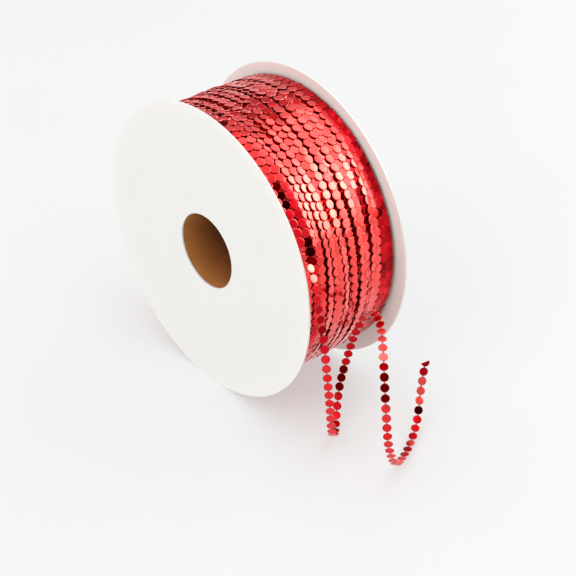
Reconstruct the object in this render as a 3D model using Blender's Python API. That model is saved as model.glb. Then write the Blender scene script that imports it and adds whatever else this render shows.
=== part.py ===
"""A spool of metallic cord: a string of 3 mm foil discs wound between two card flanges.

The spool stands on its rims with its axis along Y, the front flange towards -Y, and the floor
at z = 0 under its middle.  The last turn leaves the winding on the +X side and falls in two loops.
Sizes are in metres; the tables are in millimetres.
"""
import math

import bmesh
import bpy
from mathutils import Vector

MM = 0.001

# The two card flanges
FLANGE_RADIUS = 51.0 * MM
FLANGE_CARD = 0.6 * MM
SPOOL_WIDTH = 40.8 * MM
FLAT_CHORD = 10.0 * MM          # the rim is pressed flat where it stands
FLANGE_SEGMENTS = 72

# The paperboard core
BORE_RADIUS = 13.0 * MM
CORE_WALL = 2.0 * MM
CORE_SEGMENTS = 48

# The wound cord
DISC_WIDTH = 3.0 * MM
GAP = 0.3 * MM                  # between touching pieces
WINDING_RADIUS = 46.6 * MM      # at the crown of the winding
WINDING_RISE = 1.0 * MM         # how much further out the winding reaches above the core than beside it
CROWN_PLACE = -2.0 * MM
CROWN_DROP = 0.35 * MM          # how much lower the winding is 20 mm from its crown
EDGE_DROP = 0.9 * MM            # from the crown's line to the winding's two ends
WINDING_SEGMENTS = 72

AXIS_HEIGHT = math.sqrt(FLANGE_RADIUS ** 2 - (FLAT_CHORD / 2) ** 2)
FLANGE_INNER = SPOOL_WIDTH / 2 - FLANGE_CARD
CORE_END = FLANGE_INNER - GAP
CORE_OUTER = BORE_RADIUS + CORE_WALL

# Where the middle of each outer turn lies across the spool, at five places around it.
# The angles run up from the +X side.  Lift is how far the turn stands proud of its neighbours,
# and groove is the depth of the groove between it and the next turn.
TURN_ANGLES = (-30.0, 0.0, 30.0, 60.0, 90.0)
TURN_COLUMNS = ("low", "side", "front", "upper", "top", "lift", "groove")
TURNS = (
    (-18.0, -18.0, -18.0, -18.0, -18.0, 0.0, 0.8),
    (-15.4, -15.4, -15.9, -15.1, -14.8, 0.3, 0.7),
    (-13.0, -13.0, -13.0, -12.6, -12.5, 0.2, 1.4),
    (-10.8, -11.0, -10.1, -9.8, -10.2, 0.0, 0.7),
    (-8.9, -8.5, -8.4, -8.5, -8.4, 0.1, 0.9),
    (-6.9, -6.8, -6.5, -6.8, -6.6, 0.1, 0.8),
    (-5.0, -4.8, -4.6, -4.4, -4.6, 0.2, 1.5),
    (-3.6, -3.2, -2.6, -2.0, -1.9, -0.1, 0.7),
    (-1.7, -1.0, -0.6, 0.1, 0.5, 0.3, 1.6),
    (0.9, 1.7, 2.4, 3.2, 2.7, 0.2, 1.5),
    (3.0, 3.9, 4.6, 5.3, 4.9, -0.3, 0.8),
    (5.0, 5.8, 6.4, 7.1, 6.8, 0.2, 0.7),
    (6.9, 7.5, 8.3, 9.0, 8.8, 0.1, 0.9),
    (8.6, 9.2, 10.2, 11.6, 10.9, -0.1, 1.6),
    (10.6, 11.1, 13.2, 13.8, 13.0, 0.3, 0.9),
    (12.8, 13.0, 15.2, 15.6, 15.3, 0.1, 1.0),
    (15.2, 15.2, 17.0, 17.3, 17.0, 0.0, 0.8),
    (17.8, 17.8, 18.4, 18.5, 18.4, -0.2, 0.8),
)

# The loose end, from where it leaves the winding to its cut end, in millimetres
CORD_ROUTE = (
    (45.1, -16.3, 69.8),
    (49.0, -17.0, 64.0),
    (52.0, -18.0, 58.0),
    (56.0, -19.0, 47.0),
    (59.0, -20.0, 36.0),
    (60.0, -19.5, 24.0),
    (59.0, -17.5, 11.0),
    (54.0, -12.0, 4.0),
    (49.0, -7.0, 1.7),
    (44.0, -2.0, 5.0),
    (42.0, 1.0, 12.0),
    (43.0, 3.0, 22.0),
    (45.0, 4.0, 31.0),
    (48.0, 5.0, 39.0),
    (54.0, 3.0, 45.5),
    (62.0, -1.0, 47.0),
    (70.0, -7.0, 45.0),
    (77.0, -12.5, 39.0),
    (81.0, -15.0, 29.0),
    (82.0, -14.5, 18.0),
    (80.0, -9.5, 7.0),
    (76.0, -3.0, 3.0),
    (71.0, 5.5, 1.7),
    (66.0, 13.0, 4.0),
    (61.0, 19.0, 10.0),
    (59.0, 22.5, 19.5),
)
CORD_POINTS = 78


def clear_scene():
    for leftover in list(bpy.data.objects):
        bpy.data.objects.remove(leftover)


def make_material(name, colour, roughness, metallic):
    material = bpy.data.materials.new(name)
    material.use_nodes = True
    shader = material.node_tree.nodes["Principled BSDF"]
    shader.inputs["Base Color"].default_value = (*colour, 1.0)
    shader.inputs["Roughness"].default_value = roughness
    shader.inputs["Metallic"].default_value = metallic
    return material


def add_object(name, bm, material, smooth_angle):
    bmesh.ops.recalc_face_normals(bm, faces=bm.faces)
    mesh = bpy.data.meshes.new(name)
    bm.to_mesh(mesh)
    bm.free()
    mesh.materials.append(material)
    mesh.shade_smooth()
    mesh.set_sharp_from_angle(angle=math.radians(smooth_angle))
    made = bpy.data.objects.new(name, mesh)
    made.location = (0.0, 0.0, AXIS_HEIGHT)
    bpy.context.collection.objects.link(made)
    return made


def add_loop(bm, points):
    """Adds a closed loop of vertices, given as (x, y, z) about the spool's axis."""
    return [bm.verts.new(point) for point in points]


def join_loops(bm, first, second):
    count = len(first)
    for i in range(count):
        j = (i + 1) % count
        bm.faces.new((first[i], first[j], second[j], second[i]))


def join_ring(bm, loops):
    """Joins each loop to the next and the last to the first, which closes a ring-shaped solid."""
    for i, loop in enumerate(loops):
        join_loops(bm, loop, loops[(i + 1) % len(loops)])


def circle(radius, y, angles):
    return [(radius * math.cos(a), y, radius * math.sin(a)) for a in angles]


def even_angles(count):
    return [2.0 * math.pi * i / count for i in range(count)]


def flange_angles():
    """Angles around a flange, from one end of its flat spot to the other."""
    half_flat = math.asin(FLAT_CHORD / 2 / FLANGE_RADIUS)
    start = -math.pi / 2 + half_flat
    sweep = 2.0 * math.pi - 2.0 * half_flat
    steps = FLANGE_SEGMENTS - 1
    return [start + sweep * i / steps for i in range(FLANGE_SEGMENTS)]


def make_flange(name, inner_y, outer_y, material):
    """A card disc with a bore; the rim's first and last points are joined by the flat spot."""
    angles = flange_angles()
    bm = bmesh.new()
    loops = [
        add_loop(bm, circle(FLANGE_RADIUS, inner_y, angles)),
        add_loop(bm, circle(FLANGE_RADIUS, outer_y, angles)),
        add_loop(bm, circle(BORE_RADIUS, outer_y, angles)),
        add_loop(bm, circle(BORE_RADIUS, inner_y, angles)),
    ]
    join_ring(bm, loops)
    return add_object(name, bm, material, 30)


def make_core(material):
    angles = even_angles(CORE_SEGMENTS)
    bm = bmesh.new()
    loops = [
        add_loop(bm, circle(CORE_OUTER, -CORE_END, angles)),
        add_loop(bm, circle(CORE_OUTER, CORE_END, angles)),
        add_loop(bm, circle(BORE_RADIUS, CORE_END, angles)),
        add_loop(bm, circle(BORE_RADIUS, -CORE_END, angles)),
    ]
    join_ring(bm, loops)
    return add_object("core_tube", bm, material, 30)


def turn_place(turn, angle):
    """Where a turn lies across the spool at an angle; it eases from each named place to the next."""
    degrees = (math.degrees(angle) - TURN_ANGLES[0]) % 360.0 + TURN_ANGLES[0]
    stops = TURN_ANGLES + (TURN_ANGLES[0] + 360.0,)
    places = turn[:len(TURN_ANGLES)] + (turn[0],)
    for i in range(len(TURN_ANGLES)):
        if degrees <= stops[i + 1]:
            share = (degrees - stops[i]) / (stops[i + 1] - stops[i])
            ease = share * share * (3.0 - 2.0 * share)
            return (places[i] + (places[i + 1] - places[i]) * ease) * MM
    return places[-1] * MM


def crown_radius(y, angle):
    """The radius of the slightly lopsided winding at a place across the spool and an angle around it."""
    drop = CROWN_DROP * ((y - CROWN_PLACE) / (20.0 * MM)) ** 2
    return WINDING_RADIUS + WINDING_RISE * math.sin(angle) - drop


def ridge_point(turn, angle):
    """The crest of a turn at an angle, as its place across the spool and its radius."""
    y = turn_place(turn, angle)
    lift = turn[TURN_COLUMNS.index("lift")]
    return y, crown_radius(y, angle) + lift * MM


def groove_point(turn, next_turn, angle):
    """The bottom of the groove between two turns."""
    y, radius = ridge_point(turn, angle)
    next_y, next_radius = ridge_point(next_turn, angle)
    depth = turn[TURN_COLUMNS.index("groove")]
    return (y + next_y) / 2, (radius + next_radius) / 2 - depth * MM


def end_point(y, angle):
    """A point of one of the winding's two ends, beside a flange."""
    return y, crown_radius(y, angle) - EDGE_DROP


def wound_loop(bm, angles, places):
    """A loop around the winding whose place and radius change with the angle."""
    points = [(radius * math.cos(a), y, radius * math.sin(a)) for a, (y, radius) in zip(angles, places)]
    return add_loop(bm, points)


def make_winding(material):
    """One solid: the turns are ridges with a groove between each two."""
    angles = even_angles(WINDING_SEGMENTS)
    bm = bmesh.new()
    edge = CORE_END
    inner_radius = CORE_OUTER + GAP
    loops = [wound_loop(bm, angles, [end_point(-edge, a) for a in angles])]
    for i, turn in enumerate(TURNS):
        if i > 0:
            grooves = [groove_point(TURNS[i - 1], turn, a) for a in angles]
            loops.append(wound_loop(bm, angles, grooves))
        loops.append(wound_loop(bm, angles, [ridge_point(turn, a) for a in angles]))
    loops.append(wound_loop(bm, angles, [end_point(edge, a) for a in angles]))
    loops.append(add_loop(bm, circle(inner_radius, edge, angles)))
    loops.append(add_loop(bm, circle(inner_radius, -edge, angles)))
    join_ring(bm, loops)
    return add_object("winding", bm, material, 50)


def smooth_route(route, count):
    """Evenly spaced points on a Catmull-Rom curve through the route."""
    knots = [Vector(point) for point in route]
    knots = [2 * knots[0] - knots[1]] + knots + [2 * knots[-1] - knots[-2]]
    fine = []
    steps = 12
    for a, b, c, d in zip(knots, knots[1:], knots[2:], knots[3:]):
        for i in range(steps):
            t = i / steps
            fine.append(0.5 * (2 * b + (c - a) * t + (2 * a - 5 * b + 4 * c - d) * t ** 2
                               + (3 * b - a - 3 * c + d) * t ** 3))
    fine.append(knots[-2])
    reach = [0.0]
    for a, b in zip(fine, fine[1:]):
        reach.append(reach[-1] + (b - a).length)
    points = []
    k = 0
    for i in range(count):
        want = reach[-1] * i / (count - 1)
        while k < len(fine) - 2 and reach[k + 1] < want:
            k += 1
        points.append(fine[k].lerp(fine[k + 1], (want - reach[k]) / (reach[k + 1] - reach[k])))
    return points


def make_cord_end(material):
    curve = bpy.data.curves.new("cord_end", "CURVE")
    curve.dimensions = "3D"
    curve.bevel_depth = DISC_WIDTH / 2
    curve.bevel_resolution = 2
    curve.use_fill_caps = True
    points = smooth_route(CORD_ROUTE, CORD_POINTS)
    spline = curve.splines.new("POLY")
    spline.points.add(len(points) - 1)
    for target, point in zip(spline.points, points):
        target.co = (*(point * MM), 1.0)
    spline.use_smooth = True
    curve.materials.append(material)
    made = bpy.data.objects.new("cord_end", curve)
    bpy.context.collection.objects.link(made)
    return made


def main():
    clear_scene()
    card = make_material("white_card", (0.86, 0.85, 0.83), 0.6, 0.0)
    kraft = make_material("kraft_paperboard", (0.42, 0.24, 0.10), 0.85, 0.0)
    foil = make_material("red_foil_winding", (0.72, 0.03, 0.03), 0.25, 0.9)
    loose_foil = make_material("red_foil_cord", (0.80, 0.04, 0.04), 0.25, 0.9)
    make_flange("flange_front", -FLANGE_INNER, -SPOOL_WIDTH / 2, card)
    make_flange("flange_back", FLANGE_INNER, SPOOL_WIDTH / 2, card.copy())
    make_core(kraft)
    make_winding(foil)
    make_cord_end(loose_foil)


main()
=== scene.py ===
import math

import bpy
import numpy as np
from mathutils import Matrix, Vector


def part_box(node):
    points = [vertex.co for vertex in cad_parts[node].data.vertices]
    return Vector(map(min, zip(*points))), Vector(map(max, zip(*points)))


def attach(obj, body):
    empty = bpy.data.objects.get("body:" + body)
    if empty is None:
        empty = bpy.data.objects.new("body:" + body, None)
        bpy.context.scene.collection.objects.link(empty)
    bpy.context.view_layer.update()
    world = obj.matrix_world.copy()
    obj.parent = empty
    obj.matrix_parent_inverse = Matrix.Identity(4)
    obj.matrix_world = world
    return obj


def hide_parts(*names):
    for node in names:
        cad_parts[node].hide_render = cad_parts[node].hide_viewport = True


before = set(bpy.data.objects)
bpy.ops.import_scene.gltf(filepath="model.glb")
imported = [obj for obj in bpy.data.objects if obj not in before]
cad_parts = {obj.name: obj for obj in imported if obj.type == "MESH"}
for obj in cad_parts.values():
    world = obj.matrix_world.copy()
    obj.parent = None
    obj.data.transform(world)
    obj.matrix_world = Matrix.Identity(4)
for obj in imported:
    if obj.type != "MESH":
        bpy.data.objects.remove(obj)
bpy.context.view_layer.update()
mm = 0.001

coreLow, coreHigh = [Vector(corner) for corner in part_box("core_tube")]
windLow, windHigh = [Vector(corner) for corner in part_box("winding")]
axisHeight = (coreLow.z + coreHigh.z) / 2
print("frame loaded, the spool's axis is", round(axisHeight / mm, 1), "mm up")

cameraLook = {
    "azimuth": 50.03, "elevation": 34.61, "distance": 0.66, "lens": 121.2, "aim": (0.0, 0.0139, 0.0211),
    "clipStart": 0.01}


def placeCamera():
    azimuth = math.radians(cameraLook["azimuth"])
    elevation = math.radians(cameraLook["elevation"])
    level = math.cos(elevation)
    back = Vector((math.sin(azimuth) * level, -math.cos(azimuth) * level, math.sin(elevation)))
    data = bpy.data.cameras.new("camera")
    data.lens = cameraLook["lens"]
    data.clip_start = cameraLook["clipStart"]
    camera = bpy.data.objects.new("camera", data)
    camera.location = Vector(cameraLook["aim"]) + back * cameraLook["distance"]
    camera.rotation_euler = (math.pi / 2 - elevation, 0.0, azimuth)
    bpy.context.collection.objects.link(camera)
    bpy.context.scene.camera = camera
    return camera.location.copy(), back


cameraPlace, cameraBack = placeCamera()
print("camera placed")


# A socket of the node tree; Python's operators on it add Math nodes
class Value:
    def __init__(self, kit, socket):
        self.kit = kit
        self.socket = socket

    def math(self, operation, *others):
        return self.kit.node("ShaderNodeMath", {"operation": operation}, [self, *others])

    def __add__(self, other):
        return self.math("ADD", other)

    def __radd__(self, other):
        return self.math("ADD", other)

    def __sub__(self, other):
        return self.math("SUBTRACT", other)

    def __rsub__(self, other):
        return self.kit.node("ShaderNodeMath", {"operation": "SUBTRACT"}, [other, self])

    def __mul__(self, other):
        return self.math("MULTIPLY", other)

    def __rmul__(self, other):
        return self.math("MULTIPLY", other)

    def clip(self, low, high):  # from low to high becomes 0 to 1
        inputs = {"Value": self, "From Min": low, "From Max": high}
        return self.kit.node("ShaderNodeMapRange", {"clamp": True}, inputs)


# One material and the nodes behind its shader
class NodeKit:
    def __init__(self, name):
        self.material = bpy.data.materials.new(name)
        self.material.use_nodes = True
        self.tree = self.material.node_tree
        self.shader = self.tree.nodes["Principled BSDF"]

    def node(self, kind, settings=None, inputs=None, output=0):
        made = self.tree.nodes.new(kind)
        for key, value in (settings or {}).items():
            setattr(made, key, value)
        items = inputs.items() if isinstance(inputs, dict) else enumerate(inputs or [])
        for key, value in items:
            self.feed(made.inputs[key], value)
        return Value(self, made.outputs[output])

    def feed(self, socket, value):
        if isinstance(value, Value):
            self.tree.links.new(value.socket, socket)
        else:
            socket.default_value = value

    def coordinates(self, scale=(1.0, 1.0, 1.0)):
        place = self.node("ShaderNodeTexCoord", output="Object")
        return self.node("ShaderNodeMapping", {}, {"Vector": place, "Scale": scale})

    def noise(self, place, scale, detail, roughness=0.5):
        inputs = {"Vector": place, "Scale": scale, "Detail": detail, "Roughness": roughness}
        return self.node("ShaderNodeTexNoise", {}, inputs)

    def attribute(self, name):
        return self.node("ShaderNodeAttribute", {"attribute_name": name}, output="Fac")

    def mix(self, share, first, second):
        made = self.tree.nodes.new("ShaderNodeMix")
        made.data_type = "RGBA"
        for key, value in (("Factor_Float", share), ("A_Color", first), ("B_Color", second)):
            self.feed(next(s for s in made.inputs if s.identifier == key), value)
        return Value(self, next(s for s in made.outputs if s.identifier == "Result_Color"))

    def bump(self, height, strength, distance):
        return self.node("ShaderNodeBump", {}, {"Height": height, "Strength": strength, "Distance": distance})

    def finish(self, **inputs):
        for key, value in inputs.items():
            self.feed(self.shader.inputs[key.replace("_", " ")], value)
        return self.material


def addPiece(name, verts, faces, material, sharpAngle=None):
    mesh = bpy.data.meshes.new(name)
    mesh.from_pydata([tuple(v) for v in verts], [], faces)
    mesh.validate()
    mesh.shade_smooth()
    if sharpAngle is not None:
        mesh.set_sharp_from_angle(angle=math.radians(sharpAngle))
    mesh.materials.append(material)
    piece = bpy.data.objects.new(name, mesh)
    bpy.context.collection.objects.link(piece)
    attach(piece, "root")
    return piece


def unit(vectors):
    return vectors / np.linalg.norm(vectors, axis=-1, keepdims=True)


def named(columns, table):
    return [dict(zip(columns, row)) for row in table]


# A coin-like foil disc: rings of (radius share, height in mm), from the middle of its face round its rim
discShape = {
    "profile": ((0.86, 0.13), (0.965, 0.07), (1.0, 0.0), (0.99, -0.06)), "dome": 0.03, "bevelRim": 0.6,
    "edgeRim": 1.0}


# Many discs at once: their vertices, their faces, and how many vertices one disc has
def discMeshes(centres, along, normal, width, segments, profile=discShape["profile"]):
    across = np.cross(normal, along)
    turn = np.linspace(0.0, 2.0 * np.pi, segments, endpoint=False)
    cosine = np.cos(turn)[None, :, None]
    sine = np.sin(turn)[None, :, None]
    ringVerts = [centres[:, None, :] + normal[:, None, :] * (profile[0][1] + discShape["dome"]) * mm]
    for share, height in profile:
        reach = share * width / 2
        ring = centres[:, None, :] + normal[:, None, :] * height * mm
        ringVerts.append(ring + (along[:, None, :] * cosine + across[:, None, :] * sine) * reach)
    verts = np.concatenate(ringVerts, axis=1)
    perDisc = verts.shape[1]
    step = np.arange(segments)
    following = (step + 1) % segments
    faces = [(0, 1 + a, 1 + b) for a, b in zip(step, following)]
    for ring in range(len(profile) - 1):
        first = 1 + ring * segments
        second = first + segments
        faces += [(first + a, second + a, second + b, first + b) for a, b in zip(step, following)]
    count = len(centres)
    allFaces = [tuple(int(v) + disc * perDisc for v in face) for disc in range(count) for face in faces]
    return verts.reshape(-1, 3), allFaces, perDisc


def addShade(piece, name, values):
    shade = piece.data.attributes.new(name, "FLOAT", "POINT")
    shade.data.foreach_set("value", np.asarray(values, dtype=np.float32))


# Each disc has one tone and one gleam, from 0 to 1; its last vertices, three a segment, are its rim. The
# gleam sets the rim's painted light, from painted shade at 0 to a painted highlight at 1
def setTones(piece, tones, gleams, perDisc, segments):
    edge = np.zeros(perDisc)
    edge[-3 * segments:] = discShape["bevelRim"]
    edge[-2 * segments:] = discShape["edgeRim"]
    addShade(piece, "gleam", np.repeat(gleams, perDisc))
    addShade(piece, "tone", np.repeat(tones, perDisc))
    addShade(piece, "rim", np.tile(edge, len(tones)))


# The two edge colours are painted shade and a painted highlight on the disc rims; the dark and deep reds
# mostly serve tones that are painted reflection
foilLook = {
    "dark": (0.16, 0.0003, 0.001, 1.0), "deep": (0.80, 0.001, 0.012, 1.0),
    "bright": (0.95, 0.038, 0.018, 1.0), "paintedEdgeShade": (0.48, 0.006, 0.008, 1.0),
    "paintedEdgeHighlight": (0.90, 0.34, 0.30, 1.0),
    "darkEnd": 0.2,  # the tone where a disc's dark red ends and its coral starts
    "wrinkleScale": 700.0, "wrinkleDetail": 3.0, "wrinkleRough": 0.6, "wrinkleTone": 0.1,
    "wrinkleMiddle": 0.05, "bump": 0.15, "bumpDepth": 0.1 * mm, "scratchScale": 4200.0,
    "scratchDetail": 2.0, "scratchStretch": (1.0, 0.3, 1.0), "rough": 0.12, "roughSpread": 0.10,
    "coat": 0.9, "leastCoat": 0.12, "rimCoat": 0.9, "coatRough": 0.10, "coatIor": 1.8}


def foilMaterial(name, look):
    kit = NodeKit(name)
    place = kit.coordinates()
    tone = kit.attribute("tone")
    wrinkle = kit.noise(place, look["wrinkleScale"], look["wrinkleDetail"], look["wrinkleRough"])
    scratch = kit.noise(kit.coordinates(look["scratchStretch"]), look["scratchScale"], look["scratchDetail"])
    crimson = tone.clip(0.0, look["darkEnd"])
    coral = (tone + wrinkle * look["wrinkleTone"] - look["wrinkleMiddle"]).clip(look["darkEnd"], 1.0)
    rim = kit.attribute("rim")
    gleam = kit.attribute("gleam")
    face = kit.mix(coral, kit.mix(crimson, look["dark"], look["deep"]), look["bright"])
    # The rim is painted: with shade where the gleam is low, with a highlight where it is high
    colour = kit.mix(rim, face, kit.mix(gleam, look["paintedEdgeShade"], look["paintedEdgeHighlight"]))
    coat = coral * (1.0 - rim) * look["coat"] + rim * gleam * look["rimCoat"] + crimson * look["leastCoat"]
    rough = scratch * look["roughSpread"] + look["rough"]
    bump = kit.bump(wrinkle, look["bump"], look["bumpDepth"])
    return kit.finish(
        Base_Color=colour, Metallic=1.0, Roughness=rough, Normal=bump, Coat_Weight=coat,
        Coat_Roughness=look["coatRough"], Coat_IOR=look["coatIor"])


threadLook = {
    "dark": (0.30, 0.004, 0.006, 1.0), "bright": (0.55, 0.012, 0.012, 1.0), "strandScale": 2500.0,
    "strandDetail": 2.0, "rough": 0.55, "bump": 0.4, "bumpDepth": 0.1 * mm}


def threadMaterial(look):
    kit = NodeKit("red_thread")
    strand = kit.noise(kit.coordinates(), look["strandScale"], look["strandDetail"])
    colour = kit.mix(strand, look["dark"], look["bright"])
    bump = kit.bump(strand, look["bump"], look["bumpDepth"])
    return kit.finish(Base_Color=colour, Roughness=look["rough"], Normal=bump)


foil = foilMaterial("red_foil", foilLook)
thread = threadMaterial(threadLook)
print("foil and thread mixed")


# The loose end's middle line from the winding to its cut end, in mm
cordRoute = (
    (45.1, -16.3, 69.8), (49.0, -17.0, 64.0), (52.0, -18.0, 58.0), (56.0, -19.0, 47.0), (59.0, -20.0, 36.0),
    (60.0, -19.5, 24.0), (59.0, -17.5, 11.0), (54.0, -12.0, 4.0), (49.0, -7.0, 1.7), (44.0, -2.0, 5.0),
    (42.0, 1.0, 12.0), (43.0, 3.0, 22.0), (45.0, 4.0, 31.0), (48.0, 5.0, 39.0), (54.0, 3.0, 45.5),
    (62.0, -1.0, 47.0), (70.0, -7.0, 45.0), (77.0, -12.5, 39.0), (81.0, -15.0, 29.0), (82.0, -14.5, 18.0),
    (80.0, -9.5, 7.0), (76.0, -3.0, 3.0), (71.0, 5.5, 1.7), (66.0, 13.0, 4.0), (61.0, 19.0, 10.0),
    (59.0, 22.5, 19.5))
routeSteps = 20


# Fine points on a Catmull-Rom curve through the route, and how far along it each lies
def smoothRoute(route):
    knots = np.array(route) * mm
    knots = np.vstack([2 * knots[0] - knots[1], knots, 2 * knots[-1] - knots[-2]])
    fine = []
    for a, b, c, d in zip(knots, knots[1:], knots[2:], knots[3:]):
        for t in np.arange(routeSteps) / routeSteps:
            fine.append(0.5 * (2 * b + (c - a) * t + (2 * a - 5 * b + 4 * c - d) * t ** 2
                               + (3 * b - a - 3 * c + d) * t ** 3))
    fine.append(knots[-2])
    fine = np.array(fine)
    reach = np.concatenate([[0.0], np.cumsum(np.linalg.norm(np.diff(fine, axis=0), axis=1))])
    return fine, reach


def alongRoute(fine, reach, wanted):
    return np.stack([np.interp(wanted, reach, fine[:, k]) for k in range(3)], axis=-1)


tubeStart = (0.31, 0.77, 0.55)  # no thread runs this way, so its sides can be set out from it


# Vertices and faces of a thin tube along the points, closed at its ends
def tubeMesh(points, radius, sides):
    tangent = unit(np.gradient(points, axis=0))
    side = unit(np.cross(tangent, np.array(tubeStart)))
    other = np.cross(tangent, side)
    turn = np.linspace(0.0, 2.0 * np.pi, sides, endpoint=False)
    ring = side[:, None, :] * np.cos(turn)[None, :, None] + other[:, None, :] * np.sin(turn)[None, :, None]
    verts = (points[:, None, :] + ring * radius).reshape(-1, 3)
    faces = []
    for i in range(len(points) - 1):
        for k in range(sides):
            n = (k + 1) % sides
            faces.append((i * sides + k, i * sides + n, (i + 1) * sides + n, (i + 1) * sides + k))
    faces.append(tuple(range(sides))[::-1])
    faces.append(tuple((len(points) - 1) * sides + k for k in range(sides)))
    return verts, faces


# How the loose end's discs are turned on their thread: the place along it in mm, the tilt upwards and
# the turn sideways in degrees, and the tone
# The tones are painted reflection: low where a disc mirrors the dark room, high where it mirrors the key
# light
turnedColumns = ("place", "tilt", "turn", "tone")
turnedDiscs = (
    (0.0, -10, 13, 0.9), (7.0, -10, 13, 0.9), (8.0, 0, 16, 0.35), (10.0, 4, 18, 0.3), (12.0, 14, 18, 0.2),
    (17.0, 14, 18, 0.09), (25.0, 8, 14, 0.03), (27.5, 6, 8, 0.2), (40.0, 0, 0, 0.35), (60.0, 0, 0, 0.45),
    (76.0, 0, 0, 0.5), (79.0, 0, 0, 0.08), (88.0, 0, 0, 0.12), (91.0, 0, 0, 0.35), (93.5, -26, 2, 0.0),
    (102.0, -27, 2, 0.0), (104.0, 0, 0, 0.12), (131.0, 0, 0, 0.13), (133.0, 4, -22, 0.09),
    (143.5, 4, -22, 0.09), (145.0, -10, 0, 0.7), (156.8, -6, 0, 0.65), (158.6, -13, 0, 0.0),
    (162.4, -4, 0, 0.0), (165.6, 5, 0, 0.0), (169.3, 14, 0, 0.0), (171.2, 0, 0, 0.35), (200.0, 0, 0, 0.4),
    (207.0, 0, 0, 0.4), (210.5, 0, 0, 0.1), (215.0, 0, 0, 0.06), (216.5, 0, 8, 0.1), (217.3, 0, 8, 0.8),
    (218.3, 0, 8, 0.8), (220.0, 0, 6, 0.2), (224.0, 0, 0, 0.14), (228.0, 6, 0, 0.08), (229.8, 14, 0, 0.0),
    (231.8, 13, 0, 0.0), (233.4, -8, -12, 0.75), (241.0, -8, -12, 0.75), (243.0, -8, -8, 0.1),
    (247.5, -24, 0, 0.05), (252.0, -24, 0, 0.0))
looseLook = {
    "pitch": 3.24 * mm, "width": 2.88 * mm, "segments": 24,
    "spare": 0.4 * mm, "endGap": 0.2 * mm,  # route left over, and the part of it past the last disc's middle
    "aimBy": 0.8 * mm,  # how far either side the thread's direction is read
    "firstWide": (0.05, 1.0, 0.0), "laterWide": (0.64, 0.77, 0.0), "twistBy": 30 * mm,
    "jitter": 2.0, "toneJitter": 0.06, "plainTone": 0.15,  # no tone jitter on discs darker than this
    "gleam": 0.15, "sharp": 15, "cutSlant": 0.5, "cutPlace": 0.1 * mm,
    "linkFrom": 1.25 * mm, "linkRadius": 0.2 * mm, "linkSides": 6, "pathPoints": 90, "seed": 7}


def turnedValues(column, places):
    stops = [row[turnedColumns.index("place")] for row in turnedDiscs]
    return np.interp(places / mm, stops, [row[turnedColumns.index(column)] for row in turnedDiscs])


# Where each disc of the loose end is, and the ways that its thread and its face point
def looseDiscs(fine, reach, random):
    look = looseLook
    count = int((reach[-1] - look["spare"]) / look["pitch"])
    wanted = reach[-1] - look["pitch"] * np.arange(count)[::-1] - look["endGap"]
    centres = alongRoute(fine, reach, wanted)
    ahead = alongRoute(fine, reach, wanted + look["aimBy"])
    along = unit(ahead - alongRoute(fine, reach, wanted - look["aimBy"]))
    share = np.clip(wanted / look["twistBy"], 0.0, 1.0)[:, None]
    wide = np.array(look["firstWide"]) * (1 - share) + np.array(look["laterWide"]) * share
    normal = unit(np.cross(along, wide))
    normal[np.sum(normal * np.array(cameraBack), axis=1) < 0] *= -1
    across = np.cross(normal, along)
    tilt = turnedValues("tilt", wanted) + random.normal(0.0, look["jitter"], count)
    turn = turnedValues("turn", wanted) + random.normal(0.0, look["jitter"], count)
    upward = along * np.where(along[:, 2:] < 0, -1.0, 1.0)
    tilted = normal + upward * np.tan(np.radians(-tilt))[:, None]
    normal = unit(tilted + across * np.tan(np.radians(turn))[:, None])
    along = unit(along - normal * np.sum(along * normal, axis=1, keepdims=True))
    return wanted, centres, along, normal


def makeLinks(centres, along):
    look = looseLook
    verts, faces = [], []
    for k in range(len(centres) - 1):
        ends = (centres[k] + along[k] * look["linkFrom"], centres[k + 1] - along[k + 1] * look["linkFrom"])
        linkVerts, linkFaces = tubeMesh(np.array(ends), look["linkRadius"], look["linkSides"])
        faces += [tuple(v + len(linkVerts) * k for v in face) for face in linkFaces]
        verts += list(linkVerts)
    return addPiece("loose_thread", verts, faces, thread)


def makeLooseEnd():
    look = looseLook
    random = np.random.default_rng(look["seed"])
    fine, reach = smoothRoute(cordRoute)
    wanted, centres, along, normal = looseDiscs(fine, reach, random)
    verts, faces, perDisc = discMeshes(centres, along, normal, look["width"], look["segments"])
    backVerts, backFaces, _ = discMeshes(centres, along, -normal, look["width"], look["segments"])
    slant = unit(along[-1] + np.cross(normal[-1], along[-1]) * look["cutSlant"])
    for sheet in (verts, backVerts):  # the last disc is snipped across
        beyond = np.maximum((sheet[-perDisc:] - centres[-1]) @ slant - look["cutPlace"], 0.0)
        sheet[-perDisc:] -= beyond[:, None] * slant
    start = len(verts)
    faces += [tuple(v + start for v in face) for face in backFaces]
    piece = addPiece("loose_end", np.vstack([verts, backVerts]), faces, foil, look["sharp"])
    tones = turnedValues("tone", wanted)
    spread = random.normal(0.0, look["toneJitter"], len(wanted)) * (tones > look["plainTone"])
    tones = np.clip(tones + spread, 0.0, 1.0)
    # The loose end's rims get mostly painted shade, with a little painted highlight
    gleams = np.full(2 * len(wanted), look["gleam"])
    setTones(piece, np.concatenate([tones, tones]), gleams, perDisc, look["segments"])
    string = makeLinks(centres, along)
    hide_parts("cord_end")
    print("loose end:", len(wanted), "discs,", round(reach[-1] / mm), "mm")


makeLooseEnd()
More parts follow.
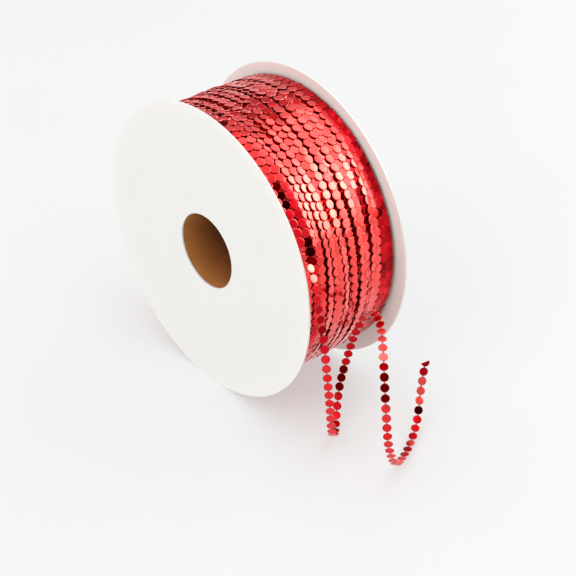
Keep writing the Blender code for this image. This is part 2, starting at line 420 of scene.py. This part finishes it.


# Each turn's place across the spool at eight angles up round it, in mm, then its lift in mm, its lean in
# degrees at four angles, its tone at three, and how far its discs are shifted along it
# The tones are partly painted reflection: the crimson turns by the back flange and the darker stretches stand
# in for what their discs mirror
turnAngles = (-30.0, 5.0, 20.0, 34.0, 45.0, 58.0, 75.0, 90.0)
leanAngles = (5.0, 38.0, 62.0, 88.0)
toneAngles = (15.0, 38.0, 60.0)
turnColumns = (
    "low", "side", "rise", "front", "brow", "upper", "crest", "top", "lift",
    "leanLow", "leanMid", "leanHigh", "leanTop", "toneLow", "toneMid", "toneHigh", "phase")
turns = (
    (-17.0, -16.6, -16.8, -18.0, -18.2, -18.2, -18.2, -18.2, 0.1, -4, -2, 0, 0, 0.60, 0.30, 0.40, 0.50),
    (-15.2, -15.2, -16.2, -16.2, -16.2, -15.9, -15.9, -15.8, 0.3, 0, -8, -5, 4, 0.20, 0.20, 0.45, 0.00),
    (-13.4, -13.6, -13.4, -13.3, -13.2, -13.1, -13.1, -13.3, 0.3, 0, -8, -3, 4, 0.20, 0.18, 0.45, 0.27),
    (-11.6, -11.1, -10.6, -10.6, -10.8, -11.4, -11.5, -11.6, 0.1, -2, 10, 10, 12, 0.50, 0.60, 0.50, 0.60),
    (-9.8, -9.3, -8.9, -8.9, -9.2, -10.3, -10.7, -10.9, 0.1, 8, 16, 14, 14, 0.50, 0.75, 0.65, 0.95),
    (-8.2, -7.6, -6.9, -6.8, -7.0, -7.8, -8.9, -9.6, 0.1, 10, 14, 6, 10, 0.75, 0.75, 0.60, 0.22),
    (-6.2, -6.2, -6.0, -5.9, -6.0, -6.4, -6.9, -7.4, -0.1, 10, 12, 12, 12, 0.60, 0.60, 0.60, 0.70),
    (-5.3, -4.9, -4.9, -4.9, -4.8, -5.1, -5.4, -5.8, 0.2, 2, 15, 14, 14, 0.65, 0.75, 0.65, 0.49),
    (-3.5, -3.2, -3.2, -3.2, -2.6, -2.7, -2.7, -2.8, 0.1, 2, 4, 2, 6, 0.65, 0.40, 0.50, 0.20),
    (-1.2, -0.9, -1.1, -1.3, -0.7, -0.4, -0.2, -0.3, 0.2, 14, 12, 8, 6, 0.80, 0.70, 0.70, 0.71),
    (1.3, 1.8, 2.0, 2.3, 2.3, 2.7, 2.9, 3.3, 0.3, 2, 6, 6, 10, 0.60, 0.55, 0.60, 0.16),
    (3.6, 4.1, 4.4, 4.4, 4.6, 4.7, 4.8, 5.0, 0.0, 12, 20, 8, 8, 0.60, 0.70, 0.60, 0.80),
    (5.4, 5.8, 6.1, 6.3, 6.4, 6.5, 6.9, 7.2, 0.3, 6, 14, 6, 8, 0.75, 0.75, 0.60, 0.54),
    (7.2, 7.6, 7.9, 8.0, 8.2, 8.5, 8.8, 9.2, 0.1, 8, 4, 3, -4, 0.65, 0.40, 0.60, 0.38),
    (8.7, 9.0, 9.3, 9.6, 10.6, 10.8, 10.8, 11.3, 0.1, 16, 14, 8, 8, 0.50, 0.75, 0.65, 0.90),
    (10.6, 10.8, 10.8, 11.0, 12.1, 12.8, 12.8, 12.8, -0.1, 10, -6, 8, 8, 0.30, 0.15, 0.50, 0.50),
    (9.7, 10.2, 11.7, 13.2, 14.0, 14.3, 14.7, 14.6, 0.2, 8, 14, 10, 8, 0.65, 0.75, 0.50, 0.95),
    (11.3, 11.9, 13.2, 14.8, 15.5, 16.3, 16.4, 16.3, 0.0, 6, 6, 2, 4, 0.65, 0.40, 0.13, 0.45),
    (14.3, 14.5, 15.3, 16.2, 16.5, 16.8, 16.9, 17.0, -0.1, -4, -9, -12, -4, 0.13, 0.09, 0.07, 0.60),
    (16.6, 17.1, 17.2, 17.3, 17.3, 17.4, 17.4, 17.4, 0.0, -4, -10, -14, -6, 0.12, 0.11, 0.08, 0.05),
    (16.7, 17.2, 17.3, 17.4, 17.4, 17.5, 17.5, 17.5, -0.05, -4, -10, -14, -6, 0.12, 0.11, 0.08, 0.55))
# Where a turn sinks below its neighbours: the depth in mm, and how many degrees it spreads either way
dipColumns = ("turn", "angle", "depth", "spread")
dips = named(dipColumns, (
    (3, 66.0, 0.9, 16.0), (4, 8.0, 0.8, 14.0), (6, 15.0, 0.9, 45.0), (8, 35.0, 1.0, 8.0),
    (11, 5.0, 0.7, 20.0), (11, 38.0, 0.3, 14.0), (14, 22.0, 0.8, 15.0), (15, 30.0, 0.6, 14.0),
    (15, 0.0, 1.3, 16.0), (17, 84.0, 0.8, 10.0), (18, 70.0, 0.4, 25.0)))
# Stretches of a turn whose discs stand out from the rest of it; their low tones add painted reflection to
# what they mirror
strayColumns = ("turn", "fromAngle", "toAngle", "lean", "pitch", "tone")
strays = named(strayColumns, (
    (1, 41.5, 52.5, -32, 4, 0.0), (2, 21.6, 29.0, -32, -14, 0.0), (2, 18.0, 21.6, -10, -8, 0.02),
    (1, 83.0, 86.5, -8, 3, 0.0), (7, 82.0, 85.0, 4, 4, 0.02), (9, 75.0, 82.5, 0, 4, 0.02),
    (12, 82.0, 85.5, 2, 5, 0.02), (14, 81.0, 85.0, 0, 5, 0.03), (8, 84.5, 92.0, 4, 4, 0.12),
    (10, 83.0, 92.0, 4, 4, 0.12), (9, 83.0, 92.0, 4, 4, 0.12), (5, 84.5, 91.0, 4, 4, 0.15)))
windLook = {
    "radius": 46.6 * mm, "rise": 1.0 * mm,  # the rise is how much thicker the winding is above than beside
    "crownPlace": -2.0 * mm, "crownDrop": 0.35 * mm, "crownBy": 20.0 * mm,
    "perTurn": 96, "width": 3.22 * mm, "segments": 14, "sharp": 15, "seed": 21,
    "phase": 73.15,  # degrees on from a turn's start where a disc of phase 0 lies
    "firstOut": 1, "leave": 26.5,  # the turn that becomes the loose end, and the angle where it leaves
    "tilt": 1.4, "stray": 0.06, "radiusStray": 0.05, "toneJitter": 0.06, "slopeBy": 0.5,
    "slowWave": 5, "quickWave": 11, "pitchWave": 7, "wobble": 1.5,
    "pitchBack": -5.0, "backFrom": 54.0, "backSoft": 4.0,  # the upper discs lean back
    "topPitch": 1.0, "topPlace": 96.0, "topSpread": 14.0,
    "topTone": 0.14, "topShare": 0.8, "topGleam": 0.55, "topFrom": 84.0, "topFromSoft": 1.2, "topTo": 126.0,
    "topToSoft": 6.0,  # the stretch over the top gets a darker painted tone, painted shade, and painted pale rims
    "shine": 0.5, "shinePlace": 40.0, "shineSpread": 9.0, "shineShare": 0.5,  # painted highlights on edges in front
    "dullFrom": 18, "leastGleam": 0.05}
turnSpan = {
    "start": turnAngles[0], "end": turnAngles[0] + 360.0, "placeFrom": turnAngles[-1],
    "leanFrom": leanAngles[-1], "toneFrom": 90.0}


def crownRadius(y, angle):
    drop = windLook["crownDrop"] * ((y - windLook["crownPlace"]) / windLook["crownBy"]) ** 2
    return windLook["radius"] + windLook["rise"] * math.sin(angle) - drop


def eased(share):
    return share * share * (3.0 - 2.0 * share)


# From 0 well below the middle to 1 well above it
def risen(value, middle, soft):
    return 1.0 / (1.0 + math.exp((middle - value) / soft))


# 1 at the middle, and less the further the value is from it
def hump(value, middle, spread):
    return math.exp(-((value - middle) / spread) ** 2)


# The value at an angle, eased from each stop's to the next's
def stepped(stops, values, degrees):
    k = int(np.clip(np.searchsorted(stops, degrees) - 1, 0, len(stops) - 2))
    share = (degrees - stops[k]) / (stops[k + 1] - stops[k])
    return values[k] + (values[k + 1] - values[k]) * eased(min(max(share, 0.0), 1.0))


def turnValues(number, first, last):
    return turns[number][turnColumns.index(first):turnColumns.index(last) + 1]


def turnValue(number, column):
    return turns[number][turnColumns.index(column)]


# Behind the spool a value eases from its last angle in front to its first on the way round
def closing(last, first, degrees, since):
    return last + (first - last) * eased((degrees - since) / (turnSpan["end"] - since))


# Where a turn lies across the spool; behind, it moves over to its start from the turn before
def turnPlace(number, degrees):
    if degrees <= turnSpan["placeFrom"]:
        return stepped(turnAngles, turnValues(number, "low", "top"), degrees) * mm
    top = turnValue(max(number - 1, 0), "top")
    return closing(top, turnValue(number, "low"), degrees, turnSpan["placeFrom"]) * mm


def turnLean(number, degrees):
    leans = turnValues(number, "leanLow", "leanTop")
    if degrees <= turnSpan["leanFrom"]:
        return stepped(leanAngles, leans, degrees)
    return closing(leans[-1], leans[0], degrees, turnSpan["leanFrom"])


def turnTone(number, degrees):
    tones = turnValues(number, "toneLow", "toneHigh")
    if degrees <= turnSpan["toneFrom"]:
        return stepped(toneAngles, tones, degrees)
    return closing(tones[-1], tones[0], degrees, turnSpan["toneFrom"])


def turnLift(number, degrees):
    lift = turnValue(number, "lift")
    for dip in dips:
        if number == dip["turn"]:
            lift -= dip["depth"] * hump(degrees, dip["angle"], dip["spread"])
    return lift * mm


# One disc of the winding: its middle, the ways its thread and its face point, its tone and its gleam
def turnDisc(number, degrees, drift, random):
    look = windLook
    angle = math.radians(degrees)
    y = turnPlace(number, degrees)
    ahead = turnPlace(number, min(degrees + look["slopeBy"], turnSpan["end"]))
    slope = ahead - turnPlace(number, degrees - look["slopeBy"])
    slope /= look["radius"] * math.radians(2 * look["slopeBy"])
    wobble = math.sin(angle * look["slowWave"] + drift[0]) + math.sin(angle * look["quickWave"] + drift[1])
    lean = turnLean(number, degrees) + wobble * look["wobble"] + random.normal(0.0, look["tilt"])
    lean = math.radians(lean)
    back = look["pitchBack"] * risen(degrees, look["backFrom"], look["backSoft"])
    back += look["topPitch"] * hump(degrees, look["topPlace"], look["topSpread"])
    back += random.normal(0.0, look["tilt"])
    pitchTilt = math.radians(back + look["wobble"] * math.sin(angle * look["pitchWave"] + drift[2]))
    tone = turnTone(number, degrees) + random.normal(0.0, look["toneJitter"])
    # Over the top the tone is pulled darker and the rims paler: painted shade on the faces, painted
    # highlights on the rims
    shade = risen(degrees, look["topFrom"], look["topFromSoft"])
    shade *= risen(-degrees, -look["topTo"], look["topToSoft"])
    tone += (look["topTone"] - tone) * shade * look["topShare"]
    # Round the bright band in front some rims get a painted highlight
    shine = look["shine"] * hump(degrees, look["shinePlace"], look["shineSpread"])
    shine *= random.uniform(0.0, 1.0) > look["shineShare"]
    gleam = (shade * look["topGleam"] + shine) * (number < look["dullFrom"]) + look["leastGleam"]
    for stray in strays:
        if number == stray["turn"] and stray["fromAngle"] < degrees < stray["toAngle"]:
            lean = math.radians(stray["lean"])
            pitchTilt = math.radians(stray["pitch"])
            tone = stray["tone"]
    radial = np.array((math.cos(angle), 0.0, math.sin(angle)))
    forward = unit(np.array((math.sin(angle), -slope, -math.cos(angle))))
    sideways = np.cross(forward, radial)
    sideways = sideways if sideways[1] > 0 else -sideways
    normal = unit(radial * math.cos(lean) + sideways * math.sin(lean) + forward * math.sin(pitchTilt))
    radius = crownRadius(y, angle) + turnLift(number, degrees) + random.normal(0.0, look["radiusStray"]) * mm
    centre = radial * radius + np.array((0.0, y + random.normal(0.0, look["stray"]) * mm, axisHeight))
    along = unit(forward - normal * forward.dot(normal))
    return centre, along, normal, min(max(tone, 0.0), 1.0), gleam


def makeTurns():
    look = windLook
    random = np.random.default_rng(look["seed"])
    apart = 360.0 / look["perTurn"]
    discs = []
    for number in range(len(turns)):
        start = (look["phase"] / apart - turnValue(number, "phase")) % 1.0 * apart
        drift = random.normal(0.0, 1.0, 3)
        for step in range(look["perTurn"]):
            degrees = turnSpan["start"] + start + step * apart
            if number == look["firstOut"] and degrees < look["leave"]:
                continue
            discs.append(turnDisc(number, degrees, drift, random))
    centres, along, normals, tones, gleams = [np.array(column) for column in zip(*discs)]
    verts, faces, perDisc = discMeshes(centres, along, normals, look["width"], look["segments"])
    piece = addPiece("wound_discs", verts, faces, foil, look["sharp"])
    setTones(piece, tones, gleams, perDisc, look["segments"])
    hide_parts("winding")
    print("winding:", len(discs), "discs,", sum(len(face) - 2 for face in faces), "triangles")


makeTurns()


underLook = {
    "from": -18.0 * mm, "to": 18.4 * mm, "spacing": 2.35 * mm, "sink": 0.85 * mm, "width": 3.0 * mm,
    "segments": 12, "profile": ((0.9, 0.14), (1.0, -0.1)), "rimSegments": 4, "sharp": 15, "drift": 6.0,
    "shift": 0.6 * mm, "shiftWave": 2, "lean": 14.0, "leanWave": 3, "tilt": 3.0, "tone": (0.25, 0.6),
    "seed": 5}


# The turns below, which show in the grooves
def makeUnderLayer():
    look = underLook
    random = np.random.default_rng(look["seed"])
    steps = windLook["perTurn"]
    sideways = np.array((0.0, 1.0, 0.0))
    centres, along, normals, tones = [], [], [], []
    for y in np.arange(look["from"], look["to"], look["spacing"]):
        start = random.uniform(0.0, 1.0)
        drift = random.uniform(0.0, look["drift"])
        for step in range(steps):
            angle = 2.0 * math.pi * (step + start) / steps
            shift = look["shift"] * math.sin(angle * look["shiftWave"] + drift)
            sway = look["lean"] * math.sin(angle * look["leanWave"] + drift * 2)
            lean = math.radians(sway + random.normal(0.0, look["tilt"]))
            radial = np.array((math.cos(angle), 0.0, math.sin(angle)))
            radius = crownRadius(y, angle) - look["sink"]
            centres.append(radial * radius + np.array((0.0, y + shift, axisHeight)))
            normals.append(radial * math.cos(lean) + sideways * math.sin(lean))
            along.append(np.array((math.sin(angle), 0.0, -math.cos(angle))))
            tones.append(random.uniform(*look["tone"]))
    arrays = [np.array(a) for a in (centres, along, normals)]
    verts, faces, perDisc = discMeshes(*arrays, look["width"], look["segments"], look["profile"])
    piece = addPiece("under_discs", verts, faces, foil, look["sharp"])
    # The under layer's rims all get painted shade
    setTones(piece, np.array(tones), np.zeros(len(tones)), perDisc, look["rimSegments"])
    print("under layer:", len(tones), "discs")


makeUnderLayer()


drumLook = {
    "sides": 96, "stations": 40, "sink": 2.3 * mm, "ridge": 0.2 * mm, "clear": 0.3 * mm, "sharp": 40,
    "dark": (0.02, 0.0005, 0.001, 1.0), "bright": (0.25, 0.004, 0.008, 1.0), "rowScale": 70.0,
    "rowDistortion": 1.5, "rowDetail": 2.0, "speckScale": 700.0, "speckDetail": 2.0, "metallic": 0.6,
    "rough": 0.45, "bump": 0.5, "bumpDepth": 0.5 * mm}


def deepMaterial(look):
    kit = NodeKit("inner_turns_painted_shade")
    place = kit.coordinates()
    waves = {"Vector": place, "Scale": look["rowScale"], "Distortion": look["rowDistortion"]}
    waves["Detail"] = look["rowDetail"]
    rows = kit.node("ShaderNodeTexWave", {"bands_direction": "Y", "wave_profile": "SIN"}, waves)
    speck = kit.noise(place, look["speckScale"], look["speckDetail"])
    colour = kit.mix(rows * speck, look["dark"], look["bright"])
    bump = kit.bump(rows, look["bump"], look["bumpDepth"])
    return kit.finish(Base_Color=colour, Metallic=look["metallic"], Roughness=look["rough"], Normal=bump)


# The tight inner turns, which close the winding below its loose outer ones; their near-black red is painted
# shade for the depth of the winding
def makeDrum():
    look = drumLook
    sides = look["sides"]
    inner = coreHigh.x + look["clear"]
    turn = np.linspace(0.0, 2.0 * np.pi, sides, endpoint=False)
    loops = [[(inner, windLow.y, a) for a in turn]]
    for k, y in enumerate(np.linspace(windLow.y, windHigh.y, look["stations"])):
        ridge = look["ridge"] * (k % 2)
        loops.append([(crownRadius(y, a) - look["sink"] + ridge, y, a) for a in turn])
    loops.append([(inner, windHigh.y, a) for a in turn])
    verts = [(r * math.cos(a), y, axisHeight + r * math.sin(a)) for loop in loops for r, y, a in loop]
    faces = []
    for k in range(len(loops)):
        n = (k + 1) % len(loops)
        for i in range(sides):
            j = (i + 1) % sides
            faces.append((k * sides + i, n * sides + i, n * sides + j, k * sides + j))
    addPiece("inner_turns", verts, faces, deepMaterial(look), look["sharp"])
    print("inner turns:", len(faces), "faces")


makeDrum()


cardLook = {
    "dark": (0.80, 0.785, 0.755, 1.0), "bright": (0.83, 0.815, 0.785, 1.0), "mottleScale": 60.0,
    "mottleDetail": 4.0, "mottleRough": 0.6, "mottleShare": 0.5, "fibreScale": 900.0, "fibreDetail": 3.0,
    "fibreRough": 0.7, "fibreStretch": (1.0, 1.0, 3.0), "fibreShare": 0.5, "rough": 0.42, "roughSpread": 0.16,
    "bump": 0.12, "bumpDepth": 0.2 * mm, "soft": 0.35, "softReach": (1.0, 0.9, 0.8),
    "softDepth": 1.0 * mm}
kraftLook = {
    "dark": (0.09, 0.014, 0.001, 1.0), "bright": (0.80, 0.33, 0.09, 1.0), "mottleScale": 160.0,
    "mottleDetail": 4.0, "mottleRough": 0.65, "mottleShare": 0.24, "fibreScale": 420.0, "fibreDetail": 4.0,
    "fibreRough": 0.7, "fibreStretch": (1.0, 5.0, 1.0), "fibreShare": 0.16,
    "mouthShare": 34.0,  # paler by this for each metre out: painted shade deep inside the tube
    "darkest": 0.28, "rough": 0.9, "specular": 0.1, "bump": 0.35, "bumpDepth": 0.2 * mm}


def cardMaterial(look):
    kit = NodeKit("white_card")
    mottle = kit.noise(kit.coordinates(), look["mottleScale"], look["mottleDetail"], look["mottleRough"])
    stretched = kit.coordinates(look["fibreStretch"])
    fibre = kit.noise(stretched, look["fibreScale"], look["fibreDetail"], look["fibreRough"])
    colour = kit.mix(mottle, look["dark"], look["bright"])
    rough = fibre * look["roughSpread"] + look["rough"]
    height = fibre * look["fibreShare"] + mottle * look["mottleShare"]
    bump = kit.bump(height, look["bump"], look["bumpDepth"])
    return kit.finish(
        Base_Color=colour, Roughness=rough, Normal=bump, Subsurface_Weight=look["soft"],
        Subsurface_Radius=look["softReach"], Subsurface_Scale=look["softDepth"])


# The paperboard tube, painted darker deep inside than at its two mouths: painted shade
def kraftMaterial(look):
    kit = NodeKit("kraft_paperboard")
    mottle = kit.noise(kit.coordinates(), look["mottleScale"], look["mottleDetail"], look["mottleRough"])
    stretched = kit.coordinates(look["fibreStretch"])
    fibre = kit.noise(stretched, look["fibreScale"], look["fibreDetail"], look["fibreRough"])
    depth = kit.node("ShaderNodeSeparateXYZ", {}, [kit.node("ShaderNodeTexCoord", output="Object")], 1)
    grain = mottle * look["mottleShare"] + fibre * look["fibreShare"]
    share = (grain + depth.math("ABSOLUTE") * look["mouthShare"] - look["darkest"]).clip(0.0, 1.0)
    colour = kit.mix(share, look["dark"], look["bright"])
    bump = kit.bump(fibre, look["bump"], look["bumpDepth"])
    return kit.finish(
        Base_Color=colour, Roughness=look["rough"], Specular_IOR_Level=look["specular"], Normal=bump)


def dressFrame():
    card = cardMaterial(cardLook)
    kraft = kraftMaterial(kraftLook)
    for name, material in (("flange_front", card), ("flange_back", card), ("core_tube", kraft)):
        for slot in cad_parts[name].material_slots:
            slot.material = material
    print("card and paperboard dressed")


dressFrame()


# The floor's glow is painted light: it lifts the shadows that fall on it
floorLook = {
    "reach": 3.0, "dark": (0.355, 0.36, 0.36, 1.0), "bright": (0.375, 0.38, 0.38, 1.0), "grainScale": 8.0,
    "grainDetail": 3.0, "rough": 0.6, "glowColour": (0.98, 1.0, 1.0, 1.0), "glow": 0.46}


def makeFloor():
    look = floorLook
    reach = look["reach"]
    corners = [(-reach, -reach, 0), (reach, -reach, 0), (reach, reach, 0), (-reach, reach, 0)]
    mesh = bpy.data.meshes.new("floor")
    mesh.from_pydata(corners, [], [(0, 1, 2, 3)])
    kit = NodeKit("floor")
    grain = kit.noise(kit.coordinates(), look["grainScale"], look["grainDetail"])
    colour = kit.mix(grain, look["dark"], look["bright"])
    mesh.materials.append(kit.finish(
        Base_Color=colour, Roughness=look["rough"], Emission_Color=look["glowColour"],
        Emission_Strength=look["glow"]))
    floor = bpy.data.objects.new("floor", mesh)
    bpy.context.collection.objects.link(floor)


makeFloor()


# Softboxes and lamps: where they are from the spool, their size, brightness and colour, and whether they
# light matt surfaces and show in gloss
lightColumns = ("name", "towards", "distance", "wide", "tall", "radiance", "colour", "onMatt", "inGloss")
lights = named(lightColumns, (
    ("key", (0.42, 0.80, 0.38), 0.9, 0.26, 0.28, 2.6, (1.0, 0.92, 0.78), False, True),
    ("keyRing", (0.42, 0.80, 0.38), 0.95, 0.62, 0.50, 3.2, (1.0, 0.92, 0.78), False, True),
    ("glow", (0.42, 0.80, 0.42), 1.0, 0.95, 0.80, 2.4, (1.0, 0.93, 0.80), False, True),
    ("backBox", (0.05, 0.75, 0.75), 1.1, 1.2, 0.8, 1.8, (1.0, 0.95, 0.86), False, True),
    ("ceiling", (-0.05, -0.10, 1.0), 1.1, 0.7, 0.5, 1.6, (1.0, 0.96, 0.90), False, True),
    ("lamp", (0.10, 0.70, 0.80), 0.9, 0.6, 0.6, 1.0, (1.0, 0.99, 0.97), True, False),
    ("overhead", (-0.1, -0.1, 1.0), 1.2, 1.5, 1.5, 0.4, (1.0, 1.0, 1.0), True, True),
    ("front", (0.12, -0.90, 0.75), 1.3, 0.9, 0.9, 2.1, (1.0, 1.0, 1.0), True, True),
    ("fill", (0.90, -0.35, 0.50), 1.2, 0.9, 0.9, 0.3, (1.0, 0.99, 0.98), True, False),
    ("left", (-0.97, -0.23, 0.6), 1.2, 0.7, 0.7, 0.3, (1.0, 1.0, 1.0), True, True)))
studioLook = {"colour": (1.0, 1.0, 1.0, 1.0), "strength": 0.77, "transform": "Standard"}


def makeLight(name, towards, distance, wide, tall, radiance, colour, onMatt, inGloss):
    data = bpy.data.lights.new(name, "AREA")
    data.shape = "RECTANGLE"
    data.size = wide
    data.size_y = tall
    data.energy = radiance * math.pi * wide * tall
    data.color = colour
    light = bpy.data.objects.new(name, data)
    direction = Vector(towards).normalized()
    light.location = Vector((0.0, 0.0, axisHeight)) + direction * distance
    light.rotation_euler = direction.to_track_quat("Z", "Y").to_euler()
    light.visible_diffuse = onMatt
    light.visible_glossy = inGloss
    bpy.context.collection.objects.link(light)


def makeLights():
    for light in lights:
        makeLight(**light)
    world = bpy.data.worlds.new("studio")
    world.use_nodes = True
    background = world.node_tree.nodes["Background"]
    background.inputs["Color"].default_value = studioLook["colour"]
    background.inputs["Strength"].default_value = studioLook["strength"]
    bpy.context.scene.world = world
    bpy.context.scene.view_settings.view_transform = studioLook["transform"]


makeLights()


shadeLook = {"radius": 0.13, "beyond": 0.03, "sides": 24, "colour": (0.01, 0.01, 0.01, 1.0), "rough": 0.9}


# The dark side of the room behind the camera, which only the foil's mirror faces show
def makeCameraShade():
    look = shadeLook
    centre = cameraPlace + cameraBack * look["beyond"]
    side = Vector((0.0, 0.0, 1.0)).cross(cameraBack).normalized()
    rise = cameraBack.cross(side)
    points = []
    for k in range(look["sides"]):
        angle = 2.0 * math.pi * k / look["sides"]
        points.append(tuple(centre + (side * math.cos(angle) + rise * math.sin(angle)) * look["radius"]))
    mesh = bpy.data.meshes.new("camera_shade")
    mesh.from_pydata(points, [], [tuple(range(look["sides"]))])
    kit = NodeKit("camera_shade")
    mesh.materials.append(kit.finish(Base_Color=look["colour"], Roughness=look["rough"]))
    shade = bpy.data.objects.new("camera_shade", mesh)
    shade.visible_camera = False
    shade.visible_shadow = False
    bpy.context.collection.objects.link(shade)


makeCameraShade()
print("floor, lights and camera shade placed")
